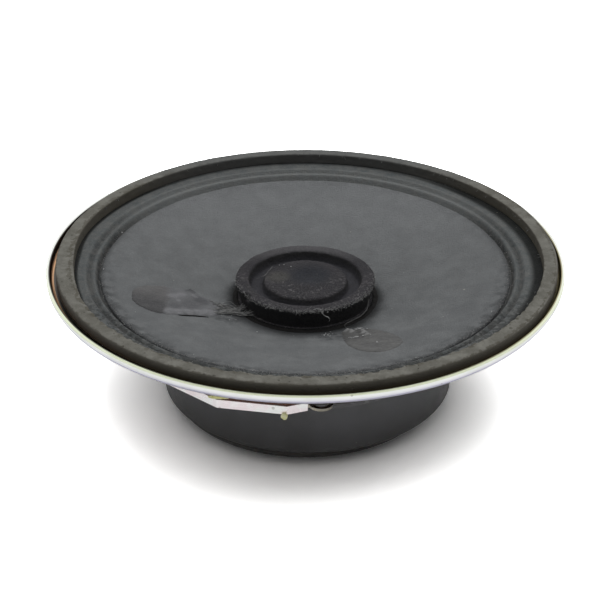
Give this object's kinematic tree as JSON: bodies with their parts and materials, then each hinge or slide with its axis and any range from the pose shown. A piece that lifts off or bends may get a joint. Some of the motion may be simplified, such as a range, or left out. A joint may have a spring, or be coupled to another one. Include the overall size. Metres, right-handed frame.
{
  "type": "loudspeaker driver",
  "caption": "Small shallow full-range loudspeaker driver: ferrite ring magnet, pressed steel basket, black paper cone, fibre gasket and two solder lugs on a side tab.",
  "frame": {"origin": "centre of the back plate's rear face, on the driver's axis", "axes": "+Z along the axis, out of the front of the cone; -Y towards the terminal side; +X to the right seen from the terminal side"},
  "size_m": [0.057, 0.057, 0.0172],
  "materials": {
    "plated_steel": "zinc plated, satin",
    "ferrite": "sintered, matte, ground rim",
    "basket_steel": "bright tinned sheet, semi-gloss",
    "fibre_board": "grey fibre board, matte",
    "surround_paper": "black paper, matte",
    "cone_paper": "black felted paper, matte, mottled",
    "cap_paper": "black felted paper with loose fibres, matte",
    "black_glue": "black adhesive, satin",
    "coil_paper": "brown kraft paper",
    "enamelled_copper": "enamelled copper wire, glossy",
    "spider_cloth": "resin-stiffened cotton cloth",
    "phenolic": "brown phenolic paper board, satin edge",
    "rivet_brass": "satin",
    "tinned_brass": "tinned, semi-gloss",
    "solder": "dull solder with flux",
    "lead_adhesive": "dried black adhesive, satin",
    "tinsel": "braided copper tinsel over thread"
  },
  "bodies": {
    "frame": {"back_yoke": "plated_steel", "magnet": "ferrite", "top_plate": "plated_steel", "basket": "basket_steel", "basket_rivets": "plated_steel", "gasket": "fibre_board", "surround": "surround_paper", "spider": "spider_cloth", "terminal_board": "phenolic", "board_rivet": "plated_steel", "lug_rivets": "rivet_brass", "terminal_lug_right": "tinned_brass", "terminal_lug_left": "tinned_brass", "solder_joints": "solder", "tinsel_lead_left": "tinsel", "tinsel_lead_right": "tinsel"},
    "cone_assembly": {"cone": "cone_paper", "dust_cap": "cap_paper", "cap_glue": "black_glue", "neck_glue": "black_glue", "voice_coil_former": "coil_paper", "coil_winding": "enamelled_copper", "lead_joints": "solder", "lead_patch_left": "lead_adhesive", "lead_patch_right": "lead_adhesive", "coil_lead_left": "enamelled_copper", "coil_lead_right": "enamelled_copper"}
  },
  "joints": [
    {"name": "cone_travel", "type": "slide", "parent": "frame", "child": "cone_assembly", "axis": [0, 0, 1], "range_m": [-0.0006, 0.0006], "stiffness_N_per_m": 2500, "deforming": ["surround", "spider", "tinsel_lead_left", "tinsel_lead_right"]}
  ]
}
